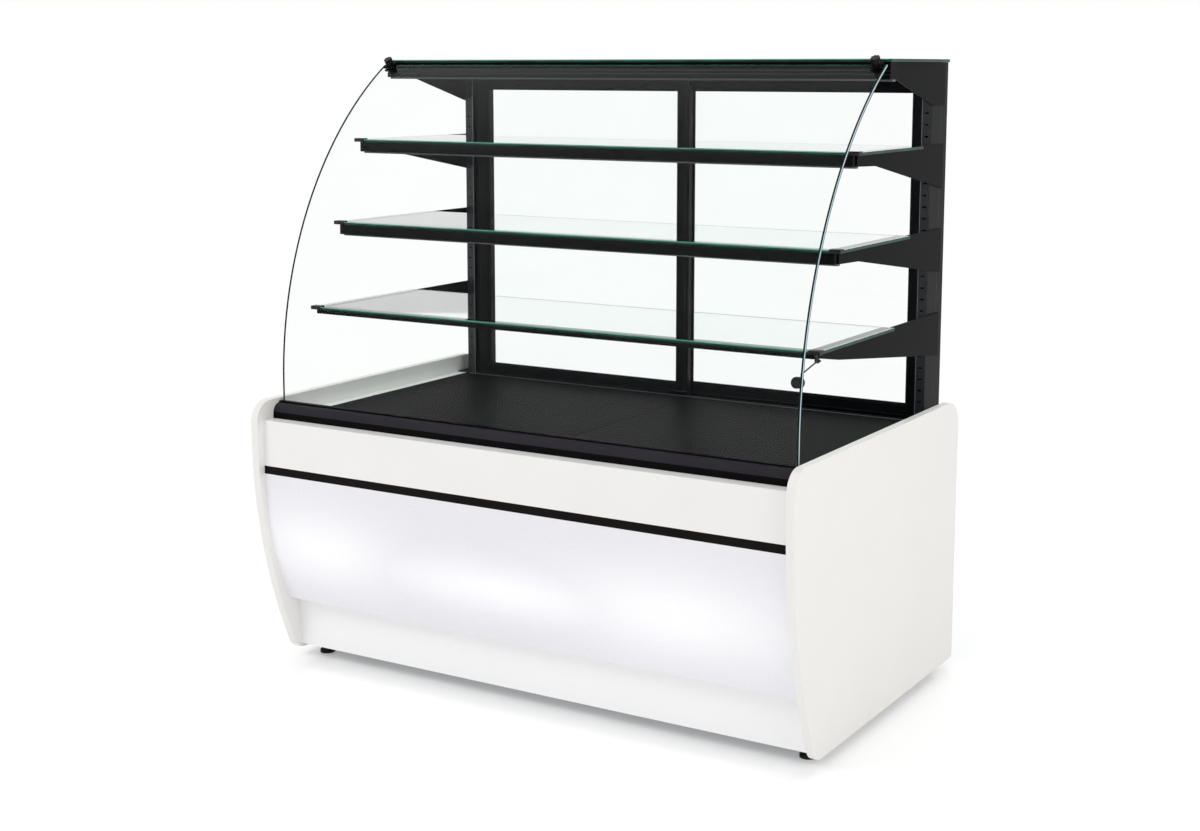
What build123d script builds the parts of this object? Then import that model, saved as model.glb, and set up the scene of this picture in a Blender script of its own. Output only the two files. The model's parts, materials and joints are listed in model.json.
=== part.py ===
from build123d import *
from math import asin, cos, pi, radians, sin, sqrt
import os

os.makedirs("parts", exist_ok=True)

# The pastry display case stands on z = 0 with its customer side towards -Y.
# Every size is in millimetres.

# Overall sizes
case_width = 1310
base_depth = 840
case_height = 1350

# Side panels with a bowed front edge
panel_thickness = 18
panel_bottom = 20
panel_top = 610
belly_height = 530
belly_radius = 1180
front_corner_radius = 45
rear_corner_radius = 60
toe_radius = 35
heel_radius = 8
panel_edge_radius = 1.5

# Front of the base: white band, dark strip, bowed light panel, plinth
fascia_inset = 20
fascia_top = 567
fascia_sheet = 6
fascia_edge_radius = 4
ledge_depth = 56
strip_top = 466
strip_height = 18
strip_depth = 6
strip_flange = 3
strip_flange_lap = 8
light_panel_radius = 678
light_panel_sheet = 4
light_panel_bottom = 148
tray_sheet = 1.5
tray_setback = 100
tray_half_length = 600
led_bar_length = 1120
led_bar_height = 20
led_bar_depth = 10
led_bar_heights = (250, 350)
plinth_setback = 128
plinth_thickness = 18
plinth_bottom = 30

# Steel frame and levelling feet
frame_rail_width = 60
frame_rail_height = 30
frame_top = 412
frame_rear_gap = 8
foot_radius = 17
foot_pad_height = 9
foot_stem_radius = 5
foot_stem_top = 56
foot_front_y = -238
foot_rear_y = 340
foot_nut_size = 26
running_clearance = 0.05
seat_gap = 0.25

# Insulated well under the display deck
well_side_wall = 27
well_front_y = -352
well_front_wall = 26
well_rear_wall = 26
well_floor = 28
well_top = 560
liner_sheet = 1.2
deck_thickness = 10
deck_front_y = -322
deck_rear_y = 323
deck_seam_x = 41
deck_seam_gap = 2
deck_edge_gap = 0.5
bearer_width = 20
bearer_height = 15
bearer_inset = 15
deck_sill_gap = 1
sill_rear_wall = 36
sill_front_lip = 10
sill_height = 12
track_recess = 18

# Front rail that carries the curved glass
rail_nose_setback = 33
rail_nose_start = 578
rail_nose_radius = 22
rail_nose_depth = 17
rail_ledge = 582
rail_rear_chamfer = 4

# Curved front glass, hinged at its foot
glass_thickness = 6
glass_half_length = 626
glass_mid_y = -342
glass_foot_z = 589
glass_bend_start = 640
glass_bend_radius = 830
glass_bend_angle = 57
glass_pivot_z = 598
carrier_thickness = 12
carrier_bottom = 585
hinge_cheek = 1.5
hinge_pin_radius = 2.5
hinge_pin_reach = 10
hinge_block_width = 9
hinge_block_top = 603

# Corner clamps on the upper edge of the front glass
clamp_x = 606
clamp_width = 24
clamp_jaw = 4
clamp_reach = 16
clamp_overhang = 6
knob_radius = 9.5
knob_height = 15
knob_setback = 4
knob_stem_radius = 3
knob_grip_count = 8
knob_grip_radius = 2

# Rear posts and the sliding doors between them
post_outer_x = 608
post_width = 22
post_front_y = 330
post_wall = 2
post_groove_y = 385
post_groove = 2
slot_pitch = 25
slot_width = 8
slot_height = 3
slot_margin = 40
track_front_y = 335
track_fin = 2
track_pitch = 22
track_base = 4
track_fin_height = 14
track_lift = 2
door_thickness = 14
door_stile = 30
door_overlap = 18
door_bottom = 564
door_top = 1313
door_glass = 4
door_glass_seat = 8
door_pull_length = 110
door_pull_width = 12
door_pull_depth = 5
glide_length = 30
centre_stop_width = 46
centre_stop_depth = 14
centre_stop_height = 8

# Top glass, its header light and the upper brackets
top_glass_front_y = 45
top_glass_rear_y = 367
top_glass_thickness = 6
header_setback = 3
header_depth = 38
header_height = 35
header_groove_height = 6
header_groove_drop = 19
header_groove_depth = 2
header_lens_width = 16

# Glass shelves: top face height, front edge and depth of each
shelves = {"upper": (1170, -82, 338), "middle": (987, -160, 354), "lower": (803, -246, 368)}
shelf_half_length = 620
shelf_glass = 6
shelf_rail_depth = 26
rail_heights = {"upper": 22, "middle": 22, "lower": 9}
lit_shelves = ("upper", "middle")
clip_width = 22
clip_lip = 2
clip_wall = 4
clip_depth = 14
lens_width = 12
lens_height = 4
bracket_sheet = 3
bracket_flange_width = 17
bracket_flange = 3
bracket_rear_y = 396
bracket_rear_height = 96
bracket_knee = 110
bracket_knee_height = 31
top_bracket_front_height = 26
top_bracket_rear_height = 92

# Stay between the lower shelf and the front glass
stay_knob_x = 612
stay_knob_z = 757
stay_knob_radius = 11
stay_knob_height = 16
stay_pivot_drop = 17
stay_pin_radius = 2
stay_ring_radius = 5
stay_ring_width = 4
stay_rod_radius = 1.5
stay_rod_clearance = 1.5
stay_rod_shortfall = 4

# Cooling machine in the base
machine_sheet = 2
compressor_x = 400
compressor_y = 120
compressor_radius = 82
compressor_height = 190
condenser_x = 60
condenser_width = 300
condenser_depth = 60
condenser_height = 250
condenser_fin_count = 21
condenser_tube_rows = 5
condenser_rear_y = 396
fan_case_depth = 28
fan_hub_radius = 22
fan_blade_count = 5
fan_blade_thickness = 2.5
fan_blade_pitch = 25
fan_running_gap = 1
fan_tip_gap = 4
fan_shaft_radius = 3
fan_shaft_reach = 2.7
evaporator_length = 620
evaporator_depth = 110
evaporator_height = 78
evaporator_y = 190
evaporator_fin_pitch = 20
evaporator_tube_radius = 6
evaporator_fan_size = 92
condensate_width = 300
condensate_depth = 200
condensate_height = 42
condensate_x = -390
condensate_opening_gap = 1
pipe_radius = 5
pipe_wall = 1.2

# Rear covers and controls
cover_sheet = 2
louvre_count = 14
louvre_height = 6
louvre_pitch = 14
louvre_length = 260
control_x = 470
control_z = 350
control_width = 180
control_height = 64
control_depth = 3
control_box_depth = 40
switch_width = 22
switch_height = 30
switch_gap = 1
rocker_pivot_depth = 6
rocker_pivot_radius = 3
rocker_high = 2.5
rocker_low = 0.5
rocker_bevel = 1
display_width = 60
display_height = 28
gland_radius = 11
gland_length = 22
cover_screw_radius = 5
cover_screw_head = 2.5
cover_screw_inset = 20
display_sheet = 1

# Places that follow from the sizes above
half_width = case_width / 2
half_inside = half_width - panel_thickness
front = -base_depth / 2
rear = base_depth / 2
fascia_front = front + fascia_inset
fascia_ledge_rear = fascia_front + ledge_depth
strip_bottom = strip_top - strip_height
plinth_front = front + plinth_setback
frame_front = plinth_front + plinth_thickness
frame_rear = rear - frame_rear_gap
frame_inner_x = half_inside - frame_rail_width
deck_top = well_top + deck_thickness
well_inner_x = half_inside - well_side_wall
well_inner_front = well_front_y + well_front_wall
cover_back = rear - cover_screw_head
cover_front = cover_back - cover_sheet
well_rear_y = cover_front
well_inner_rear = well_rear_y - well_rear_wall
well_inner_floor = frame_top + well_floor
sill_front = deck_rear_y + deck_sill_gap
sill_top = well_top + sill_height
post_inner_x = post_outer_x - post_width
top_glass_bottom = case_height - top_glass_thickness
rail_front = fascia_front + rail_nose_setback
rail_nose_back = rail_front + rail_nose_depth
glass_bend_centre = glass_mid_y + glass_bend_radius
bracket_x = post_outer_x + bracket_sheet


def block(x0, x1, y0, y1, z0, z1):
    """A plain box between two corners."""
    with BuildPart() as made:
        with Locations(((x0 + x1) / 2, (y0 + y1) / 2, (z0 + z1) / 2)):
            Box(abs(x1 - x0), abs(y1 - y0), abs(z1 - z0))
    return made.part


def along_x(points, x0, x1):
    """A closed outline of (y, z) points, extruded from x0 to x1."""
    with BuildPart() as made:
        with BuildSketch(Plane.YZ.offset(x0)):
            with BuildLine():
                Polyline(*points, close=True)
            make_face()
        extrude(amount=x1 - x0)
    return made.part


def keep(part, name):
    """Names a finished piece and writes it."""
    part.label = name
    export_step(part, f"parts/{name}.step")


def arc_y(start_y, radius, drop):
    """How far back an arc that starts upright has come after a given drop."""
    return start_y + radius - sqrt(radius**2 - drop**2)


def side_panel(x0, name):
    toe = (arc_y(front, belly_radius, belly_height - panel_bottom), panel_bottom)
    half_turn = asin((belly_height - panel_bottom) / belly_radius) / 2
    belly = (front + belly_radius * (1 - cos(half_turn)), belly_height - belly_radius * sin(half_turn))
    with BuildPart() as panel:
        with BuildSketch(Plane.YZ.offset(x0)) as outline:
            with BuildLine():
                Line((rear, panel_bottom), (rear, panel_top))
                Line((rear, panel_top), (front, panel_top))
                Line((front, panel_top), (front, belly_height))
                ThreePointArc((front, belly_height), belly, toe)
                Line(toe, (rear, panel_bottom))
            make_face()
            top_corners = outline.vertices().group_by(Axis.Y)[-1].sort_by(Axis.X)
            fillet(top_corners[0], front_corner_radius)
            fillet(outline.vertices().group_by(Axis.Y)[-1].sort_by(Axis.X)[-1], rear_corner_radius)
            fillet(outline.vertices().group_by(Axis.Y)[0].sort_by(Axis.X)[0], toe_radius)
            fillet(outline.vertices().group_by(Axis.Y)[0].sort_by(Axis.X)[-1], heel_radius)
        extrude(amount=panel_thickness)
        fillet(panel.faces().filter_by(Axis.X).edges(), panel_edge_radius)
    keep(panel.part, name)


side_panel(half_inside, "side_panel_right")
side_panel(-half_width, "side_panel_left")

# White sheet band above the strip, with a ledge that runs back under the rail
with BuildPart() as fascia:
    with BuildSketch(Plane.YZ.offset(-half_inside)) as outline:
        with BuildLine():
            Polyline(
                (fascia_front, strip_top),
                (fascia_front, fascia_top),
                (fascia_ledge_rear, fascia_top),
                (fascia_ledge_rear, fascia_top - fascia_sheet),
                (fascia_front + fascia_sheet, fascia_top - fascia_sheet),
                (fascia_front + fascia_sheet, strip_top),
                close=True,
            )
        make_face()
        fillet(outline.vertices().group_by(Axis.Y)[-1].sort_by(Axis.X)[0], fascia_edge_radius)
    extrude(amount=2 * half_inside)
keep(fascia.part, "upper_fascia")

# Dark strip with a flange that laps behind its two neighbours
strip_back = fascia_front + strip_depth
strip = along_x(
    [
        (fascia_front, strip_bottom),
        (fascia_front, strip_top),
        (strip_back, strip_top),
        (strip_back, strip_top + strip_flange_lap),
        (strip_back + strip_flange, strip_top + strip_flange_lap),
        (strip_back + strip_flange, strip_bottom - strip_flange_lap),
        (strip_back, strip_bottom - strip_flange_lap),
        (strip_back, strip_bottom),
    ],
    -half_inside,
    half_inside,
)
keep(strip, "accent_strip")


def light_panel_point(radius, height):
    """The point of the bowed panel's face at a height, for its outer or inner radius."""
    drop = strip_bottom - height
    return (fascia_front + light_panel_radius - sqrt(radius**2 - drop**2), height)


# Bowed translucent panel with a lip that rests on the plinth
with BuildPart() as light_panel:
    inner_radius = light_panel_radius - light_panel_sheet
    lip_rear = plinth_front + plinth_thickness
    lip_top = light_panel_bottom + light_panel_sheet
    mid_height = (strip_bottom + light_panel_bottom) / 2
    with BuildSketch(Plane.YZ.offset(-half_inside)):
        with BuildLine():
            ThreePointArc(
                light_panel_point(light_panel_radius, strip_bottom),
                light_panel_point(light_panel_radius, mid_height),
                light_panel_point(light_panel_radius, light_panel_bottom),
            )
            Polyline(
                light_panel_point(light_panel_radius, light_panel_bottom),
                (lip_rear, light_panel_bottom),
                (lip_rear, lip_top),
                light_panel_point(inner_radius, lip_top),
            )
            ThreePointArc(
                light_panel_point(inner_radius, lip_top),
                light_panel_point(inner_radius, mid_height),
                light_panel_point(inner_radius, strip_bottom),
            )
            Line(
                light_panel_point(inner_radius, strip_bottom),
                light_panel_point(light_panel_radius, strip_bottom),
            )
        make_face()
    extrude(amount=2 * half_inside)
keep(light_panel.part, "light_panel")

# White tray behind the bowed panel and its two light bars
tray_y = fascia_front + tray_setback
tray = along_x(
    [
        (tray_y, lip_top),
        (tray_y, frame_top - tray_sheet),
        (well_front_y - tray_sheet, frame_top - tray_sheet),
        (well_front_y - tray_sheet, strip_top),
        (well_front_y, strip_top),
        (well_front_y, frame_top),
        (tray_y + tray_sheet, frame_top),
        (tray_y + tray_sheet, lip_top),
    ],
    -tray_half_length,
    tray_half_length,
)
keep(tray, "light_tray")

with BuildPart() as led_bars:
    for height in led_bar_heights:
        with Locations((0, tray_y - led_bar_depth / 2, height)):
            Box(led_bar_length, led_bar_depth, led_bar_height)
keep(led_bars.part, "light_panel_leds")

keep(
    block(-half_inside, half_inside, plinth_front, frame_front, plinth_bottom, light_panel_bottom),
    "plinth",
)


# One welded frame: a ring of wide bars on each side, four cross bars and a floor sheet
machine_z = plinth_bottom + frame_rail_height
frame_mid_y = (frame_front + frame_rear) / 2
frame_mid_z = (plinth_bottom + frame_top) / 2
frame_depth = frame_rear - frame_front
frame_height = frame_top - plinth_bottom
ring_mid_x = half_inside - frame_rail_width / 2
with BuildPart() as base_frame:
    with Locations((0, frame_mid_y, frame_mid_z)):
        Box(2 * half_inside, frame_depth, frame_height)
        Box(
            2 * half_inside,
            frame_depth - 2 * frame_rail_height,
            frame_height - 2 * frame_rail_height,
            mode=Mode.SUBTRACT,
        )
        Box(2 * frame_inner_x, frame_depth, frame_height - 2 * frame_rail_height, mode=Mode.SUBTRACT)
        Box(2 * frame_inner_x, frame_depth - 2 * frame_rail_height, frame_height, mode=Mode.SUBTRACT)
    with Locations((0, frame_mid_y, machine_z - machine_sheet / 2)):
        Box(2 * frame_inner_x, frame_depth, machine_sheet)
    for x in (-ring_mid_x, ring_mid_x):
        for y in (foot_front_y, foot_rear_y):
            with Locations((x, y, plinth_bottom + frame_rail_height / 2)):
                Cylinder(foot_stem_radius + running_clearance, frame_rail_height, mode=Mode.SUBTRACT)
keep(base_frame.part, "base_frame")


def foot(x, y, name):
    """A round pad on a threaded stem."""
    with BuildPart() as made:
        with BuildSketch(Plane.XY):
            with Locations((x, y)):
                Circle(foot_radius)
        extrude(amount=foot_pad_height)
        chamfer(made.faces().sort_by(Axis.Z)[-1].edges(), foot_pad_height / 3)
        with BuildSketch(Plane.XY.offset(foot_pad_height)):
            with Locations((x, y)):
                Circle(foot_stem_radius)
        extrude(amount=foot_stem_top - foot_pad_height)
    keep(made.part, name)


foot(-ring_mid_x, foot_front_y, "foot_front_left")
foot(ring_mid_x, foot_front_y, "foot_front_right")
foot(-ring_mid_x, foot_rear_y, "foot_rear_left")
foot(ring_mid_x, foot_rear_y, "foot_rear_right")

# Foam tub that keeps the well cold, and its sheet liner with a drain pipe
drain_x = condensate_x
drain_y = evaporator_y
with BuildPart() as insulation:
    with Locations((0, (well_front_y + well_rear_y) / 2, (frame_top + well_top) / 2)):
        Box(2 * half_inside, well_rear_y - well_front_y, well_top - frame_top)
    with Locations((0, (well_inner_front + well_inner_rear) / 2, (well_inner_floor + well_top) / 2)):
        Box(
            2 * well_inner_x,
            well_inner_rear - well_inner_front,
            well_top - well_inner_floor,
            mode=Mode.SUBTRACT,
        )
    with Locations((drain_x, drain_y, (frame_top + well_inner_floor) / 2)):
        Cylinder(pipe_radius, well_floor, mode=Mode.SUBTRACT)
keep(insulation.part, "well_insulation")

with BuildPart() as liner:
    with Locations((0, (well_inner_front + well_inner_rear) / 2, (well_inner_floor + well_top) / 2)):
        Box(2 * well_inner_x, well_inner_rear - well_inner_front, well_top - well_inner_floor)
    with Locations(
        (0, (well_inner_front + well_inner_rear) / 2, (well_inner_floor + well_top + liner_sheet) / 2)
    ):
        Box(
            2 * (well_inner_x - liner_sheet),
            well_inner_rear - well_inner_front - 2 * liner_sheet,
            well_top - well_inner_floor - liner_sheet,
            mode=Mode.SUBTRACT,
        )
    pipe_bottom = machine_z + condensate_height + foot_pad_height
    with Locations((drain_x, drain_y, (pipe_bottom + well_inner_floor) / 2)):
        Cylinder(pipe_radius, well_inner_floor - pipe_bottom)
    with Locations((drain_x, drain_y, (pipe_bottom + well_inner_floor + liner_sheet) / 2)):
        Cylinder(
            pipe_radius - pipe_wall,
            well_inner_floor + liner_sheet - pipe_bottom,
            mode=Mode.SUBTRACT,
        )
keep(liner.part, "well_liner")

# White caps on the side walls of the well
with BuildPart() as well_caps:
    for side in (-1, 1):
        cap_at = (
            side * (well_inner_x + half_inside) / 2,
            (deck_front_y + sill_front) / 2,
            (well_top + deck_top) / 2,
        )
        with Locations(cap_at):
            Box(well_side_wall, sill_front - deck_front_y, deck_thickness)
keep(well_caps.part, "well_caps")

# Bearers across the well and the two deck plates that lie on them
liner_front = well_inner_front + liner_sheet
bearer_rear = sill_front + sill_front_lip - liner_sheet
bearer_x = well_inner_x - liner_sheet - bearer_inset
with BuildPart() as bearers:
    for x in (-bearer_x, deck_seam_x, bearer_x):
        with Locations((x, (liner_front + bearer_rear) / 2, well_top - bearer_height / 2)):
            Box(bearer_width, bearer_rear - liner_front, bearer_height)
keep(bearers.part, "deck_bearers")

for x0, x1, name in (
    (-well_inner_x + deck_edge_gap, deck_seam_x - deck_seam_gap / 2, "deck_plate_left"),
    (deck_seam_x + deck_seam_gap / 2, well_inner_x - deck_edge_gap, "deck_plate_right"),
):
    keep(block(x0, x1, deck_front_y, deck_rear_y, well_top, deck_top), name)

# Rear sill with a recess for the door track and a small block that marks its middle
recess_front = sill_front + sill_front_lip
recess_rear = rear - sill_rear_wall
recess_bottom = sill_top - track_recess
recess_mid_y = (recess_front + recess_rear) / 2
recess_depth = recess_rear - recess_front
with BuildPart() as sill:
    with Locations((0, (sill_front + rear) / 2, (well_top + sill_top) / 2)):
        Box(2 * half_inside, rear - sill_front, sill_height)
    with Locations((0, recess_mid_y, (recess_bottom + well_top) / 2 - liner_sheet)):
        Box(2 * post_inner_x, recess_depth + 2 * liner_sheet, well_top - recess_bottom + 2 * liner_sheet)
    with Locations((0, recess_mid_y, (recess_bottom + sill_top) / 2)):
        Box(2 * (post_inner_x - liner_sheet), recess_depth, track_recess, mode=Mode.SUBTRACT)
    with Locations((0, recess_front - centre_stop_depth / 2, sill_top + centre_stop_height / 2)):
        Box(centre_stop_width, centre_stop_depth, centre_stop_height)
keep(sill.part, "rear_sill")

# Bottom door track with three fins
track_length = 2 * (post_inner_x - liner_sheet)
track_rear_y = track_front_y + 2 * track_pitch + track_fin
with BuildPart() as bottom_track:
    with Locations((0, (track_front_y + track_rear_y) / 2, recess_bottom + track_base / 2)):
        Box(track_length, track_rear_y - track_front_y, track_base)
    for fin in range(3):
        fin_y = track_front_y + fin * track_pitch + track_fin / 2
        with Locations((0, fin_y, recess_bottom + track_base + track_fin_height / 2)):
            Box(track_length, track_fin, track_fin_height)
keep(bottom_track.part, "bottom_track")

# Front rail: a rounded nose, then a drop to the ledge that carries the glass
nose_top = rail_nose_start + sqrt(rail_nose_radius**2 - (rail_nose_radius - rail_nose_depth) ** 2)
nose_angle = asin((nose_top - rail_nose_start) / rail_nose_radius) / 2
with BuildPart() as front_rail:
    with BuildSketch(Plane.YZ.offset(-half_inside)):
        with BuildLine():
            Line((rail_front, fascia_top), (rail_front, rail_nose_start))
            ThreePointArc(
                (rail_front, rail_nose_start),
                (
                    rail_front + rail_nose_radius * (1 - cos(nose_angle)),
                    rail_nose_start + rail_nose_radius * sin(nose_angle),
                ),
                (rail_nose_back, nose_top),
            )
            Polyline(
                (rail_nose_back, nose_top),
                (rail_nose_back, rail_ledge),
                (deck_front_y - rail_rear_chamfer, rail_ledge),
                (deck_front_y, rail_ledge - rail_rear_chamfer),
                (deck_front_y, well_top),
                (fascia_ledge_rear, well_top),
                (fascia_ledge_rear, fascia_top),
                (rail_front, fascia_top),
            )
        make_face()
    extrude(amount=2 * half_inside)
keep(front_rail.part, "front_rail")

# Hinge blocks on the rail, one at each end of the glass carrier
with BuildPart() as hinge_blocks:
    block_mid_x = half_inside - hinge_block_width / 2
    for x in (-block_mid_x, block_mid_x):
        with Locations((x, glass_mid_y, (rail_ledge + hinge_block_top) / 2)):
            Box(hinge_block_width, carrier_thickness, hinge_block_top - rail_ledge)
        with Locations(Location((x, glass_mid_y, glass_pivot_z), (0, 90, 0))):
            Cylinder(hinge_pin_radius + running_clearance, hinge_block_width, mode=Mode.SUBTRACT)
keep(hinge_blocks.part, "hinge_blocks")


def glass_point(offset, angle):
    """A (y, z) point beside the centre line of the bowed glass."""
    radius = glass_bend_radius - offset
    return (
        glass_bend_centre - radius * cos(radians(angle)),
        glass_bend_start + radius * sin(radians(angle)),
    )


# Curved front glass
with BuildPart() as front_glass:
    outer = -glass_thickness / 2
    inner = glass_thickness / 2
    half_bend = glass_bend_angle / 2
    with BuildSketch(Plane.YZ.offset(-glass_half_length)):
        with BuildLine():
            Line((glass_mid_y + outer, glass_foot_z), glass_point(outer, 0))
            ThreePointArc(
                glass_point(outer, 0),
                glass_point(outer, half_bend),
                glass_point(outer, glass_bend_angle),
            )
            Line(glass_point(outer, glass_bend_angle), glass_point(inner, glass_bend_angle))
            ThreePointArc(
                glass_point(inner, glass_bend_angle),
                glass_point(inner, half_bend),
                glass_point(inner, 0),
            )
            Polyline(
                glass_point(inner, 0),
                (glass_mid_y + inner, glass_foot_z),
                (glass_mid_y + outer, glass_foot_z),
            )
        make_face()
    extrude(amount=2 * glass_half_length)
keep(front_glass.part, "front_glass")

# Carrier that grips the foot of the glass, with a cheek and a pin at each end
carrier_top = hinge_block_top - running_clearance
with BuildPart() as carrier:
    carrier_z = (carrier_bottom + carrier_top) / 2
    with Locations((0, glass_mid_y, carrier_z)):
        Box(2 * glass_half_length, carrier_thickness, carrier_top - carrier_bottom)
    with Locations((0, glass_mid_y, (glass_foot_z + carrier_top) / 2)):
        Box(
            2 * glass_half_length,
            glass_thickness,
            carrier_top - glass_foot_z,
            mode=Mode.SUBTRACT,
        )
    pin_mid_x = glass_half_length + hinge_pin_reach / 2
    for side in (-1, 1):
        with Locations((side * (glass_half_length + hinge_cheek / 2), glass_mid_y, carrier_z)):
            Box(hinge_cheek, carrier_thickness, carrier_top - carrier_bottom)
        with Locations(Location((side * pin_mid_x, glass_mid_y, glass_pivot_z), (0, 90, 0))):
            Cylinder(hinge_pin_radius, hinge_pin_reach)
keep(carrier.part, "glass_carrier")


def clamp_plane(x, along, away):
    """A plane at the upper edge of the glass, with its normal pointing out of the glass."""
    tilt = radians(glass_bend_angle)
    edge_y, edge_z = glass_point(0, glass_bend_angle)
    plane_y = edge_y + along * sin(tilt) - away * cos(tilt)
    plane_z = edge_z + along * cos(tilt) + away * sin(tilt)
    return Plane(
        origin=(x, plane_y, plane_z),
        x_dir=(1, 0, 0),
        z_dir=(0, -cos(tilt), sin(tilt)),
    )


# Clamps over the upper corners of the glass
clamp_height = glass_thickness + 2 * clamp_jaw
with BuildPart() as clamps:
    for x in (-clamp_x, clamp_x):
        with Locations(clamp_plane(x, (clamp_overhang - clamp_reach) / 2, 0).location):
            Box(clamp_width, clamp_reach + clamp_overhang, clamp_height)
        with Locations(clamp_plane(x, -clamp_reach / 2, 0).location):
            Box(clamp_width, clamp_reach, glass_thickness + 2 * seat_gap, mode=Mode.SUBTRACT)
        with Locations(clamp_plane(x, -knob_setback, (glass_thickness + clamp_jaw) / 2).location):
            Cylinder(knob_stem_radius + running_clearance, clamp_jaw, mode=Mode.SUBTRACT)
keep(clamps.part, "glass_clamps")


def clamp_knob(x, name):
    """A hand screw with grips around its head; its stem runs in the outer jaw."""
    stem_start = glass_thickness / 2
    head_start = clamp_height / 2
    with BuildPart() as knob:
        with BuildSketch(clamp_plane(x, -knob_setback, stem_start)):
            Circle(knob_stem_radius)
        extrude(amount=head_start - stem_start)
        with BuildSketch(clamp_plane(x, -knob_setback, head_start)):
            Circle(knob_radius)
            with PolarLocations(knob_radius, knob_grip_count):
                Circle(knob_grip_radius, mode=Mode.SUBTRACT)
        extrude(amount=knob_height)
    keep(knob.part, name)


clamp_knob(-clamp_x, "clamp_knob_left")
clamp_knob(clamp_x, "clamp_knob_right")


# Hollow uprights with a slotted front face for the shelf brackets
post_height = top_glass_bottom - sill_top
post_depth = rear - post_front_y
slot_count = int((post_height - 2 * slot_margin) / slot_pitch) + 1
with BuildPart() as posts:
    with BuildSketch(Plane.XY.offset(sill_top)):
        for side in (-1, 1):
            with Locations((side * (post_outer_x - post_width / 2), (post_front_y + rear) / 2)):
                Rectangle(post_width, post_depth)
                Rectangle(post_width - 2 * post_wall, post_depth - 2 * post_wall, mode=Mode.SUBTRACT)
            with Locations((side * post_outer_x, post_groove_y)):
                Rectangle(post_groove, post_groove, mode=Mode.SUBTRACT)
    extrude(amount=post_height)
    for side in (-1, 1):
        for step in range(slot_count):
            slot_z = sill_top + slot_margin + step * slot_pitch
            with Locations((side * (post_outer_x - post_width / 2), post_front_y + post_wall / 2, slot_z)):
                Box(slot_width, post_wall, slot_height, mode=Mode.SUBTRACT)
keep(posts.part, "rear_posts")

# Top track: a header between the posts with two downward channels
with BuildPart() as top_track:
    track_bottom = door_top - track_fin_height + track_lift
    roof = door_top + track_lift
    with Locations((0, (track_front_y + track_rear_y) / 2, (roof + top_glass_bottom) / 2)):
        Box(2 * post_inner_x, track_rear_y - track_front_y, top_glass_bottom - roof)
    for fin in range(3):
        fin_y = track_front_y + fin * track_pitch + track_fin / 2
        with Locations((0, fin_y, (track_bottom + roof) / 2)):
            Box(2 * post_inner_x, track_fin, roof - track_bottom)
keep(top_track.part, "top_track")


def door(x0, x1, channel, pull_side, name):
    """A framed sliding door with its glass, glides and a recessed finger pull."""
    mid_y = track_front_y + track_fin + (track_pitch - track_fin) / 2 + channel * track_pitch
    mid_x = (x0 + x1) / 2
    mid_z = (door_bottom + door_top) / 2
    width = x1 - x0
    height = door_top - door_bottom
    with BuildPart() as frame:
        with Locations((mid_x, mid_y, mid_z)):
            Box(width, door_thickness, height)
            Box(width - 2 * door_stile, door_thickness, height - 2 * door_stile, mode=Mode.SUBTRACT)
            Box(
                width - 2 * (door_stile - door_glass_seat),
                door_glass,
                height - 2 * (door_stile - door_glass_seat),
                mode=Mode.SUBTRACT,
            )
        pull_x = mid_x + pull_side * (width - door_stile) / 2
        with Locations((pull_x, mid_y + (door_thickness - door_pull_depth) / 2, mid_z)):
            Box(door_pull_width, door_pull_depth, door_pull_length, mode=Mode.SUBTRACT)
        glide_bottom = recess_bottom + track_base + running_clearance
        for x in (x0 + 2 * door_stile, x1 - 2 * door_stile):
            with Locations((x, mid_y, (glide_bottom + door_bottom) / 2)):
                Box(glide_length, door_thickness, door_bottom - glide_bottom)
    keep(frame.part, f"door_frame_{name}")
    with BuildPart() as pane:
        with Locations((mid_x, mid_y, mid_z)):
            Box(
                width - 2 * (door_stile - door_glass_seat),
                door_glass,
                height - 2 * (door_stile - door_glass_seat),
            )
    keep(pane.part, f"door_glass_{name}")


door_outer = post_inner_x - liner_sheet
door(-door_outer, door_overlap, 0, -1, "left")
door(-door_overlap, door_outer, 1, 1, "right")

# Top glass and the dark header with its light below the front edge
keep(
    block(
        -shelf_half_length - clip_width / 2,
        shelf_half_length + clip_width / 2,
        top_glass_front_y,
        top_glass_rear_y,
        top_glass_bottom,
        case_height,
    ),
    "top_glass",
)

header_y = top_glass_front_y + header_setback
header_bottom = top_glass_bottom - header_height
header_half_length = shelf_half_length + clip_width / 2 - header_setback
groove_top = top_glass_bottom - header_groove_drop
header = along_x(
    [
        (header_y, top_glass_bottom),
        (header_y, groove_top),
        (header_y + header_groove_depth, groove_top),
        (header_y + header_groove_depth, groove_top - header_groove_height),
        (header_y, groove_top - header_groove_height),
        (header_y, header_bottom),
        (header_y + header_depth, header_bottom),
        (header_y + header_depth, top_glass_bottom),
    ],
    -header_half_length,
    header_half_length,
)
keep(header, "header_profile")

# Plates under the top glass that carry it forward from the posts
header_rear = header_y + header_depth
with BuildPart() as top_brackets:
    for side in (-1, 1):
        with BuildSketch(Plane.YZ.offset(side * post_outer_x)):
            with BuildLine():
                Polyline(
                    (header_rear, top_glass_bottom),
                    (bracket_rear_y, top_glass_bottom),
                    (bracket_rear_y, top_glass_bottom - top_bracket_rear_height),
                    (post_front_y, top_glass_bottom - top_bracket_rear_height),
                    (header_rear, top_glass_bottom - top_bracket_front_height),
                    close=True,
                )
            make_face()
        extrude(amount=side * bracket_sheet)
keep(top_brackets.part, "top_brackets")

# Glass shelves
for level, (top, shelf_front, depth) in shelves.items():
    pane = block(
        -shelf_half_length,
        shelf_half_length,
        shelf_front,
        shelf_front + depth,
        top - shelf_glass,
        top,
    )
    keep(pane, f"shelf_glass_{level}")

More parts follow.
